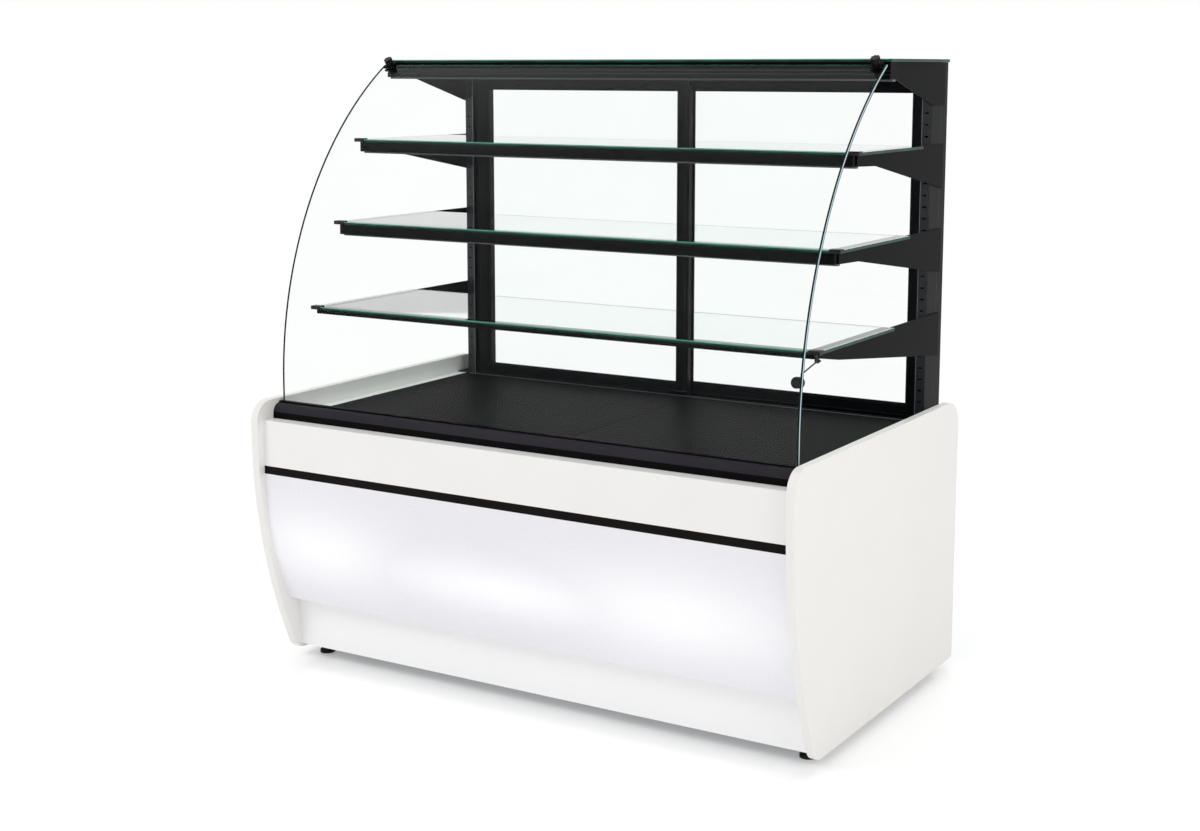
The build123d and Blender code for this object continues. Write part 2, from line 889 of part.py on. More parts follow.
# Rails under the front edges, between the brackets; the plain one has no light in it
rail_half = post_outer_x
with BuildPart() as shelf_rails:
    for level, (top, shelf_front, depth) in shelves.items():
        rail_height = rail_heights[level]
        with Locations((0, shelf_front + shelf_rail_depth / 2, top - shelf_glass - rail_height / 2)):
            Box(2 * rail_half, shelf_rail_depth, rail_height)
keep(shelf_rails.part, "shelf_rails")

# Light strips below the header and below two of the rails
with BuildPart() as light_strips:
    with Locations((0, header_y + header_depth / 2, header_bottom - lens_height / 2)):
        Box(2 * header_half_length, header_lens_width, lens_height)
    for level in lit_shelves:
        top, shelf_front, depth = shelves[level]
        light_y = shelf_front + shelf_rail_depth - lens_width / 2
        with Locations((0, light_y, top - shelf_glass - rail_heights[level] - lens_height / 2)):
            Box(2 * rail_half, lens_width, lens_height)
keep(light_strips.part, "light_strips")

# Brackets on the outer sides of the posts, with a flange below the glass
with BuildPart() as shelf_brackets:
    for level, (top, shelf_front, depth) in shelves.items():
        bottom = top - shelf_glass
        flange_front = shelf_front + shelf_rail_depth
        flange_rear = min(shelf_front + depth, post_front_y)
        for side in (-1, 1):
            with BuildSketch(Plane.YZ.offset(side * post_outer_x)):
                with BuildLine():
                    Polyline(
                        (shelf_front + clip_depth, bottom),
                        (shelf_front + clip_depth, bottom - rail_heights[level]),
                        (shelf_front + bracket_knee, top - bracket_knee_height),
                        (bracket_rear_y, top - bracket_rear_height),
                        (bracket_rear_y, top),
                        (shelf_front + depth, top),
                        (shelf_front + depth, bottom),
                        close=True,
                    )
                make_face()
            extrude(amount=side * bracket_sheet)
            flange_x = side * (post_outer_x - bracket_flange_width / 2)
            with Locations((flange_x, (flange_front + flange_rear) / 2, bottom - bracket_flange / 2)):
                Box(bracket_flange_width, flange_rear - flange_front, bracket_flange)
keep(shelf_brackets.part, "shelf_brackets")

low_top, low_front = shelves["lower"][:2]
pivot_y = low_front
pivot_z = low_top - stay_pivot_drop
lug_x = bracket_x

# Clips around the front corners of the shelves; one carries the lug and pin of the stay
with BuildPart() as shelf_clips:
    for top, shelf_front, depth in shelves.values():
        pane_mid_z = top - shelf_glass / 2
        for side in (-1, 1):
            clip_mid_x = side * (shelf_half_length - clip_width / 2 + clip_lip / 2)
            clip_mid_y = shelf_front + (clip_depth - clip_wall) / 2
            with Locations((clip_mid_x, clip_mid_y, pane_mid_z + clip_lip / 2)):
                Box(clip_width + clip_lip, clip_depth + clip_wall, shelf_glass + clip_lip)
        with Locations((0, shelf_front + depth / 2, pane_mid_z)):
            Box(2 * shelf_half_length, depth, shelf_glass, mode=Mode.SUBTRACT)
    lug_bottom = pivot_z - stay_ring_radius
    lug_top = low_top - shelf_glass
    with Locations((lug_x + bracket_sheet / 2, low_front, (lug_bottom + lug_top) / 2)):
        Box(bracket_sheet, 2 * clip_wall, lug_top - lug_bottom)
    with Locations(Location((lug_x + bracket_sheet + stay_ring_width, pivot_y, pivot_z), (0, 90, 0))):
        Cylinder(stay_pin_radius, 2 * stay_ring_width)
keep(shelf_clips.part, "shelf_clips")

# Knob on the inside of the front glass, under the end of the stay
knob_angle = asin((stay_knob_z - glass_bend_start) / glass_bend_radius)


def stay_knob_point(away):
    """The (y, z) point on the knob's axis at a distance from the glass centre line."""
    radius = glass_bend_radius - away
    return (glass_bend_centre - radius * cos(knob_angle), glass_bend_start + radius * sin(knob_angle))


knob_foot_y, knob_foot_z = stay_knob_point(glass_thickness / 2 + seat_gap)
with BuildPart() as stay_knob:
    knob_plane = Plane(
        origin=(stay_knob_x, knob_foot_y, knob_foot_z),
        x_dir=(1, 0, 0),
        z_dir=(0, cos(knob_angle), -sin(knob_angle)),
    )
    with BuildSketch(knob_plane):
        Circle(stay_knob_radius)
    extrude(amount=stay_knob_height)
    chamfer(stay_knob.faces().sort_by(Axis.Y)[-1].edges(), stay_rod_radius)
keep(stay_knob.part, "stay_knob")

# Stay: an eye on the lug's pin and a thin rod that lies just over the knob
rest_y, rest_z = stay_knob_point(glass_thickness / 2 + stay_knob_height / 2)
rod_end_z = rest_z + stay_knob_radius + stay_rod_clearance + stay_rod_radius
rod_length = sqrt((rest_y - pivot_y) ** 2 + (rod_end_z - pivot_z) ** 2) - stay_rod_shortfall
ring_x = lug_x + bracket_sheet + running_clearance
with BuildPart() as stay_rod:
    with BuildSketch(Plane.YZ.offset(ring_x)):
        with Locations((pivot_y, pivot_z)):
            Circle(stay_ring_radius)
            Circle(stay_pin_radius + running_clearance, mode=Mode.SUBTRACT)
    extrude(amount=stay_ring_width)
    rod_dir = Vector(0, rest_y - pivot_y, rod_end_z - pivot_z).normalized()
    rod_start = Vector(ring_x + stay_ring_width / 2, pivot_y, pivot_z) + rod_dir * (stay_ring_radius - 1)
    with BuildSketch(Plane(origin=rod_start, z_dir=rod_dir)):
        Circle(stay_rod_radius)
    extrude(amount=rod_length - stay_ring_radius)
keep(stay_rod.part, "stay_rod")

# Compressor on four feet
with BuildPart() as compressor:
    body_bottom = machine_z + foot_nut_size
    with BuildSketch(Plane.XY.offset(body_bottom)):
        with Locations((compressor_x, compressor_y)):
            Circle(compressor_radius)
    extrude(amount=compressor_height)
    fillet(compressor.edges().filter_by(GeomType.CIRCLE), compressor_radius / 3)
    for dx in (-1, 1):
        for dy in (-1, 1):
            foot_at = (
                compressor_x + dx * compressor_radius * 0.8,
                compressor_y + dy * compressor_radius * 0.8,
                machine_z + foot_nut_size / 2,
            )
            with Locations(foot_at):
                Box(foot_nut_size, foot_nut_size, foot_nut_size)
    with Locations((compressor_x, compressor_y, body_bottom)):
        Box(2 * compressor_radius, 2 * compressor_radius, machine_sheet * 2)
keep(compressor.part, "compressor")

# Condenser with end plates, fins and a fan case in front
condenser_front = condenser_rear_y - condenser_depth
condenser_mid_y = (condenser_front + condenser_rear_y) / 2
condenser_mid_z = machine_z + condenser_height / 2
with BuildPart() as condenser:
    fin_pitch = condenser_width / (condenser_fin_count - 1)
    with Locations((condenser_x, condenser_mid_y, condenser_mid_z)):
        with GridLocations(fin_pitch, 1, condenser_fin_count, 1):
            Box(machine_sheet, condenser_depth, condenser_height)
    for row in range(condenser_tube_rows):
        tube_z = machine_z + condenser_height * (row + 0.5) / condenser_tube_rows
        with Locations(Location((condenser_x, condenser_mid_y, tube_z), (0, 90, 0))):
            Cylinder(evaporator_tube_radius, condenser_width)
keep(condenser.part, "condenser")

fan_radius = condenser_height / 2 - 2 * fan_tip_gap
fan_case_front = condenser_front - fan_case_depth


def fan_case(x, mid_z, y0, y1, width, height, hole_radius, name):
    """A square case with a round opening and a motor carrier behind the rotor."""
    with BuildPart() as case:
        with Locations((x, (y0 + y1) / 2, mid_z)):
            Box(width, y1 - y0, height)
        with Locations(Location((x, (y0 + y1) / 2, mid_z), (90, 0, 0))):
            Cylinder(hole_radius, y1 - y0, mode=Mode.SUBTRACT)
        with Locations((x, y1 - machine_sheet / 2, mid_z)):
            Box(2 * hole_radius, machine_sheet, fan_hub_radius)
        with Locations(Location((x, y1 - machine_sheet / 2, mid_z), (90, 0, 0))):
            Cylinder(fan_shaft_radius + running_clearance, machine_sheet, mode=Mode.SUBTRACT)
    keep(case.part, name)


def fan_rotor(x, mid_z, y_back, depth, radius, hub_radius, name):
    """A hub with pitched blades that turns in its case."""
    with BuildPart() as rotor:
        with Locations(Location((x, y_back - depth / 2, mid_z), (90, 0, 0))):
            Cylinder(hub_radius, depth)
        with Locations(Location((x, y_back + fan_shaft_reach / 2, mid_z), (90, 0, 0))):
            Cylinder(fan_shaft_radius, fan_shaft_reach)
        for blade in range(fan_blade_count):
            with Locations(Location((x, y_back - depth / 2, mid_z), (0, 360 * blade / fan_blade_count, 0))):
                with Locations(Location(((hub_radius + radius) / 2 - 1, 0, 0), (fan_blade_pitch, 0, 0))):
                    Box(radius - hub_radius, fan_blade_thickness, depth * 1.3)
    keep(rotor.part, name)


fan_case(
    condenser_x,
    condenser_mid_z,
    fan_case_front,
    condenser_front,
    condenser_width,
    condenser_height,
    fan_radius + fan_tip_gap,
    "condenser_fan_case",
)
fan_depth = fan_case_depth - 2 * fan_tip_gap
rotor_back = condenser_front - machine_sheet - fan_running_gap
fan_rotor(condenser_x, condenser_mid_z, rotor_back, fan_depth, fan_radius, fan_hub_radius, "condenser_fan")

# Evaporator under the deck, blown through by a small fan
evaporator_bottom = well_inner_floor + liner_sheet
evaporator_mid_z = evaporator_bottom + evaporator_height / 2
with BuildPart() as evaporator:
    fin_count = int(evaporator_length / evaporator_fin_pitch) + 1
    with Locations((0, evaporator_y, evaporator_mid_z)):
        with GridLocations(evaporator_fin_pitch, 1, fin_count, 1):
            Box(machine_sheet, evaporator_depth, evaporator_height)
    for dy in (-1, 1):
        for dz in (-1, 1):
            tube = (
                0,
                evaporator_y + dy * evaporator_depth / 4,
                evaporator_mid_z + dz * evaporator_height / 4,
            )
            with Locations(Location(tube, (0, 90, 0))):
                Cylinder(evaporator_tube_radius, evaporator_length)
keep(evaporator.part, "evaporator")

small_fan_radius = evaporator_height / 2 - fan_tip_gap - machine_sheet
case_back = evaporator_y - evaporator_depth / 2
fan_case(
    0,
    evaporator_mid_z,
    case_back - fan_case_depth,
    case_back,
    evaporator_fan_size,
    evaporator_height,
    small_fan_radius + fan_tip_gap / 2,
    "evaporator_fan_case",
)
fan_rotor(
    0,
    evaporator_mid_z,
    case_back - machine_sheet - fan_running_gap,
    fan_depth,
    small_fan_radius,
    fan_hub_radius / 2,
    "evaporator_fan",
)

# Condensate tray that slides out to the rear
with BuildPart() as condensate:
    with Locations((condensate_x, rear - condensate_depth / 2, machine_z + condensate_height / 2)):
        Box(condensate_width, condensate_depth, condensate_height)
    offset(amount=-cover_sheet, openings=condensate.faces().sort_by(Axis.Z)[-1])
keep(condensate.part, "condensate_tray")

# Rear cover with louvres, an opening for the tray and one for the controls
cover_mid_y = (cover_front + cover_back) / 2
cover_mid_z = (machine_z + well_top) / 2
with BuildPart() as rear_cover:
    with Locations((0, cover_mid_y, cover_mid_z)):
        Box(2 * half_inside, cover_sheet, well_top - machine_z)
    for row in range(louvre_count):
        slot_z = condenser_mid_z + (row - (louvre_count - 1) / 2) * louvre_pitch
        with Locations((condenser_x, cover_mid_y, slot_z)):
            Box(louvre_length, cover_sheet, louvre_height, mode=Mode.SUBTRACT)
    with Locations((condensate_x, cover_mid_y, machine_z + condensate_height / 2)):
        Box(
            condensate_width + 2 * condensate_opening_gap,
            cover_sheet,
            condensate_height + 2 * condensate_opening_gap,
            mode=Mode.SUBTRACT,
        )
    with Locations((control_x, cover_mid_y, control_z)):
        Box(control_width, cover_sheet, control_height, mode=Mode.SUBTRACT)
    with Locations(Location((control_x, cover_mid_y, control_z - control_height), (90, 0, 0))):
        Cylinder(gland_radius + seat_gap, cover_sheet, mode=Mode.SUBTRACT)
keep(rear_cover.part, "rear_cover")

# Recessed control box with a rocker switch and a temperature display
switch_x = control_x - control_width / 4
display_x = control_x + control_width / 4
face_y = rear - control_depth
with BuildPart() as control_box:
    with Locations((control_x, rear - control_box_depth / 2, control_z)):
        Box(control_width, control_box_depth, control_height)
        Box(
            control_width - 2 * cover_sheet,
            control_box_depth,
            control_height - 2 * cover_sheet,
            mode=Mode.SUBTRACT,
        )
    with Locations((control_x, rear - control_box_depth + cover_sheet / 2, control_z)):
        Box(control_width, cover_sheet, control_height)
    with Locations((control_x, face_y - cover_sheet / 2, control_z)):
        Box(control_width, cover_sheet, control_height)
    with Locations((switch_x, face_y - cover_sheet / 2, control_z)):
        Box(
            switch_width + 2 * switch_gap,
            cover_sheet,
            switch_height + 2 * switch_gap,
            mode=Mode.SUBTRACT,
        )
keep(control_box.part, "control_box")

# Rocker that tilts about a sideways pin behind the panel
rocker_back = face_y - rocker_pivot_depth
with BuildPart() as rocker:
    with BuildSketch(Plane.YZ.offset(switch_x - switch_width / 2)):
        with BuildLine():
            Polyline(
                (rocker_back, control_z - switch_height / 3),
                (face_y - cover_sheet, control_z - switch_height / 2),
                (face_y + rocker_high, control_z - switch_height / 2 + rocker_bevel),
                (face_y - rocker_low, control_z),
                (face_y + rocker_low, control_z + switch_height / 2 - rocker_bevel),
                (face_y - cover_sheet, control_z + switch_height / 2),
                (rocker_back, control_z + switch_height / 3),
                close=True,
            )
        make_face()
    extrude(amount=switch_width)
    with Locations(Location((switch_x, rocker_back, control_z), (0, 90, 0))):
        Cylinder(rocker_pivot_radius, switch_width)
keep(rocker.part, "power_rocker")

keep(
    block(
        display_x - display_width / 2,
        display_x + display_width / 2,
        face_y,
        face_y + display_sheet,
        control_z - display_height / 2,
        control_z + display_height / 2,
    ),
    "temperature_display",
)

# Gland where the mains lead would enter
with BuildPart() as gland:
    gland_z = control_z - control_height
    with Locations(Location((control_x, rear - gland_length / 2, gland_z), (90, 0, 0))):
        Cylinder(gland_radius, gland_length)
        Cylinder(gland_radius / 2, gland_length, mode=Mode.SUBTRACT)
keep(gland.part, "mains_gland")

# Screws that hold the rear cover
with BuildPart() as screws:
    outer_screw_x = frame_inner_x + cover_screw_inset
    for x in (-outer_screw_x, -frame_inner_x / 3, frame_inner_x / 3, outer_screw_x):
        for z in (machine_z + cover_screw_inset, well_top - cover_screw_inset):
            with Locations(Location((x, rear - cover_screw_head / 2, z), (90, 0, 0))):
                Cylinder(cover_screw_radius, cover_screw_head)
keep(screws.part, "cover_screws")
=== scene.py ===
import json
import math

import bpy
from mathutils import Euler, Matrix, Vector


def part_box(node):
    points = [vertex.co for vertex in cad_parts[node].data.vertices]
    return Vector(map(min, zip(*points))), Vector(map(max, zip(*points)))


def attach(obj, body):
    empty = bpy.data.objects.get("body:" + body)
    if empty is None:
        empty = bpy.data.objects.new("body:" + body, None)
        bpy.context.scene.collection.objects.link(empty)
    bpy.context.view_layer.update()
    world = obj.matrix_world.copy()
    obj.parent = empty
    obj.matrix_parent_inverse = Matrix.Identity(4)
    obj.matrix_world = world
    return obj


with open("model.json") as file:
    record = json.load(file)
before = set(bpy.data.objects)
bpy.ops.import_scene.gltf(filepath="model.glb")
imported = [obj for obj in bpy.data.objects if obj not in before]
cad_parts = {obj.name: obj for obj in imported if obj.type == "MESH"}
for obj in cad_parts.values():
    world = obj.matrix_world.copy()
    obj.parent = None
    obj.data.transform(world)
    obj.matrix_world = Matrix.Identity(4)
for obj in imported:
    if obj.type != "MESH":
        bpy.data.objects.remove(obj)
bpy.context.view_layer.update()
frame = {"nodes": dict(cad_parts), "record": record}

# Units and camera
MM = 0.001
IMAGE_WIDTH_PX = 1200
FOCAL_PX = 1777.2
SENSOR_WIDTH = 36.0
CAMERA_PLACE = (1.9929, -3.2773, 1.3334)
CAMERA_TURN = 31.507
CAMERA_TILT = 8.46
CAMERA_SHIFT = -0.07

# Floor and light around the object
WHITE = (1, 1, 1, 1)
AMBIENT = 0.5
FLOOR_SIZE = 40.0
FLOOR_NEAR = 1.5
FLOOR_FAR = 3.2
FLOOR_DARK = (0.92, 0.92, 0.92, 1)
FLOOR_LIGHT = (0.95, 0.95, 0.95, 1)
FLOOR_ROUGHNESS = (0.08, 0.16)
FLOOR_SPECULAR = 0.4
FLOOR_GLOW = 0.2

# Lamps: name, place, target and size in metres, power in watts
LAMPS = (
    ("key", (-2.2, -3.4, 3.6), (0, 0, 0.5), (2.4, 2.4), 66),
    ("fill", (3.8, -1.4, 1.9), (0, 0, 0.6), (2.4, 2.2), 36),
    ("top", (0.0, 0.3, 3.9), (0, 0, 0.4), (3.0, 2.2), 30),
    ("rear", (0.4, 3.6, 2.4), (0, 0, 0.6), (2.6, 1.8), 34),
)

# Front glass, as in the solids: centre line of its foot, bend and half length
GLASS_Y = -342
GLASS_FOOT_Z = 589
GLASS_BEND_Z = 640
GLASS_RADIUS = 830
GLASS_ANGLE = 57
GLASS_HALF_LENGTH = 626
GLASS_HALF_THICK = 3
GLASS_STEPS = 48

# Doors, posts and header
POST_WIDTH = 22
STILE = 30
STEP_INSET = 9
GASKET_WIDTH = 5
GASKET_LIFT = 1.2
DOOR_PANE_HALF = 2
GROOVE_Y = 385
GROOVE_HALF = 1.4
HEADER_GROOVE_TOP = 1325
HEADER_GROOVE_BOTTOM = 1319
TRIM_HEIGHT = 1.2
TRIM_PROUD = 0.4

# Shelf edges and screws
EDGE_HIGHLIGHT_LINE = 1.2
EDGE_SHADE = 3.5
EDGE_DROP = 0.5
CLIP_SPAN = 598
RAIL_SPLIT_Z = 580.5
SCREW_SLOT = 6
SCREW_SLOT_WIDTH = 1.2

# Bezel of the display and the softened edges of square pieces
BEZEL_OUTSET = 4
BEZEL_SHOULDER = 3
BEZEL_INSET = 1
BEZEL_FOOT = 1.6
BEZEL_PROUD = 0.6
SOFT_EDGE = 0.6
SOFT_EDGE_ANGLE = 40

# Values that the finishes share
LEAST_ROUGHNESS = 0.02
ROUGHNESS_SPREAD = 0.08
COAT_ROUGHNESS = 0.08
TINT_DIP = 0.985
SHADOW_TINT = 0.97
HAZE_SPAN = (0.45, 0.8)
OPAL_ROUGHNESS = (0.22, 0.34)
OPAL_BUMP = 0.03
OPAL_BUMP_DISTANCE = 0.0003
GLOW_FALL = 0.37

# How far the normal of a face leans along an axis
ALONG = 0.9
ALONG_CLOSELY = 0.95
ASIDE = 0.5
ACROSS = 0.1

nodes = frame["nodes"]


def srgb(r, g, b):
    """A display colour from 0 to 255 as a linear colour with alpha."""
    def channel(v):
        v = v / 255
        return v / 12.92 if v <= 0.04045 else ((v + 0.055) / 1.055) ** 2.4
    return (channel(r), channel(g), channel(b), 1.0)


# Material helpers

def new_material(name):
    """An empty node material and its Principled shader."""
    mat = bpy.data.materials.new(name)
    mat.use_nodes = True
    return mat, mat.node_tree, mat.node_tree.nodes["Principled BSDF"]


def add_node(tree, kind, **values):
    """A node with some of its input sockets set."""
    made = tree.nodes.new(kind)
    for key, value in values.items():
        made.inputs[key.replace("_", " ")].default_value = value
    return made


def noise_of(tree, scale, detail=4.0, roughness=0.5, stretch=(1, 1, 1)):
    """Noise in object coordinates, stretched along the axes."""
    coords = tree.nodes.new("ShaderNodeTexCoord")
    mapping = tree.nodes.new("ShaderNodeMapping")
    mapping.inputs["Scale"].default_value = stretch
    noise = add_node(tree, "ShaderNodeTexNoise", Scale=scale, Detail=detail, Roughness=roughness)
    tree.links.new(coords.outputs["Object"], mapping.inputs["Vector"])
    tree.links.new(mapping.outputs["Vector"], noise.inputs["Vector"])
    return noise


def ramp_of(tree, source, low, high, at=(0.3, 0.7)):
    """A two-stop colour ramp over a factor."""
    ramp = tree.nodes.new("ShaderNodeValToRGB")
    ramp.color_ramp.elements[0].position = at[0]
    ramp.color_ramp.elements[1].position = at[1]
    ramp.color_ramp.elements[0].color = low
    ramp.color_ramp.elements[1].color = high
    tree.links.new(source, ramp.inputs["Fac"])
    return ramp


def math_of(tree, operation, first, second):
    """The result of a maths node over two values, each a number or an output of another node."""
    made = tree.nodes.new("ShaderNodeMath")
    made.operation = operation
    for socket, value in zip(made.inputs, (first, second)):
        if isinstance(value, float):
            socket.default_value = value
        else:
            tree.links.new(value, socket)
    return made.outputs[0]


def shade(colour, factor):
    """The same colour made lighter or darker."""
    return tuple(min(1.0, c * factor) for c in colour[:3]) + (1.0,)


def tint_with(tree, shader, noise, low, high):
    """Colour between two tints, by a noise."""
    tint = ramp_of(tree, noise.outputs["Fac"], low, high)
    tree.links.new(tint.outputs["Color"], shader.inputs["Base Color"])


def roughen_with(tree, shader, noise, low, high, span=(0.0, 1.0)):
    """Roughness between two levels, by the part of a noise within a span."""
    level = add_node(tree, "ShaderNodeMapRange", From_Min=span[0], From_Max=span[1],
                     To_Min=low, To_Max=high)
    tree.links.new(noise.outputs["Fac"], level.inputs["Value"])
    tree.links.new(level.outputs["Result"], shader.inputs["Roughness"])


def bump_with(tree, shader, noise, strength, distance):
    """Relief by a noise."""
    relief = add_node(tree, "ShaderNodeBump", Strength=strength, Distance=distance)
    tree.links.new(noise.outputs["Fac"], relief.inputs["Height"])
    tree.links.new(relief.outputs["Normal"], shader.inputs["Normal"])


def surface(name, colour, rough, spread=0.06, grain=900.0, bump=0.02, metallic=0.0, coat=0.0,
            stretch=(1, 1, 1), patch=7.0, bump_distance=0.0004, specular=0.5):
    """A finish with slow patches of colour, and a fine grain in its gloss and bump."""
    mat, tree, shader = new_material(name)
    patches = noise_of(tree, patch, detail=5.0)
    tint_with(tree, shader, patches, shade(colour, 1 - spread), shade(colour, 1 + spread))
    fine = noise_of(tree, grain, detail=3.0, roughness=0.6, stretch=stretch)
    roughen_with(tree, shader, fine, max(LEAST_ROUGHNESS, rough - ROUGHNESS_SPREAD),
                 min(1.0, rough + ROUGHNESS_SPREAD))
    bump_with(tree, shader, fine, bump, bump_distance)
    shader.inputs["Metallic"].default_value = metallic
    shader.inputs["Specular IOR Level"].default_value = specular
    shader.inputs["Coat Weight"].default_value = coat
    shader.inputs["Coat Roughness"].default_value = COAT_ROUGHNESS
    return mat


def glass(name, colour, smear=0.03, ior=1.45):
    """Clear glass that lets lamp light through, with faint smears in its gloss."""
    mat, tree, shader = new_material(name)
    haze = noise_of(tree, scale=3.5, detail=6.0, roughness=0.65)
    roughen_with(tree, shader, haze, 0.0, smear, HAZE_SPAN)
    tint_with(tree, shader, haze, shade(colour, TINT_DIP), colour)
    shader.inputs["Transmission Weight"].default_value = 1.0
    shader.inputs["IOR"].default_value = ior
    path = tree.nodes.new("ShaderNodeLightPath")
    clear = add_node(tree, "ShaderNodeBsdfTransparent", Color=shade(colour, SHADOW_TINT))
    mix = tree.nodes.new("ShaderNodeMixShader")
    tree.links.new(path.outputs["Is Shadow Ray"], mix.inputs["Fac"])
    tree.links.new(shader.outputs["BSDF"], mix.inputs[1])
    tree.links.new(clear.outputs["BSDF"], mix.inputs[2])
    tree.links.new(mix.outputs["Shader"], tree.nodes["Material Output"].inputs["Surface"])
    return mat


def glow_panel(name, colour, glow, strength):
    """Opal plastic whose light is brightest in soft pools along its length."""
    mat, tree, shader = new_material(name)
    coords = tree.nodes.new("ShaderNodeTexCoord")
    split = tree.nodes.new("ShaderNodeSeparateXYZ")
    tree.links.new(coords.outputs["Object"], split.inputs["Vector"])
    pools = []
    for centre_x, centre_z, reach_x, reach_z in GLOW_POOLS:
        squares = []
        for axis, centre, reach in (("X", centre_x, reach_x), ("Z", centre_z, reach_z)):
            offset = math_of(tree, "SUBTRACT", split.outputs[axis], centre)
            scaled = math_of(tree, "DIVIDE", offset, reach)
            squares.append(math_of(tree, "MULTIPLY", scaled, scaled))
        total = math_of(tree, "ADD", squares[0], squares[1])
        pools.append(math_of(tree, "POWER", GLOW_FALL, total))
    joined = pools[0]
    for pool in pools[1:]:
        joined = math_of(tree, "MAXIMUM", joined, pool)
    lit = ramp_of(tree, joined, glow[0], glow[1], at=(0.0, 1.0))
    tree.links.new(lit.outputs["Color"], shader.inputs["Emission Color"])
    shader.inputs["Emission Strength"].default_value = strength
    cloud = noise_of(tree, scale=4.0, detail=3.0)
    tint_with(tree, shader, cloud, shade(colour, TINT_DIP), colour)
    grain = noise_of(tree, scale=700.0, detail=2.0)
    bump_with(tree, shader, grain, OPAL_BUMP, OPAL_BUMP_DISTANCE)
    roughen_with(tree, shader, grain, OPAL_ROUGHNESS[0], OPAL_ROUGHNESS[1])
    return mat


# Pools of light on the bowed panel: centre x, centre z, reach in x and in z
GLOW_POOLS = (
    (-0.50, 0.29, 0.20, 0.09),
    (-0.02, 0.27, 0.34, 0.06),
    (0.38, 0.285, 0.27, 0.10),
)

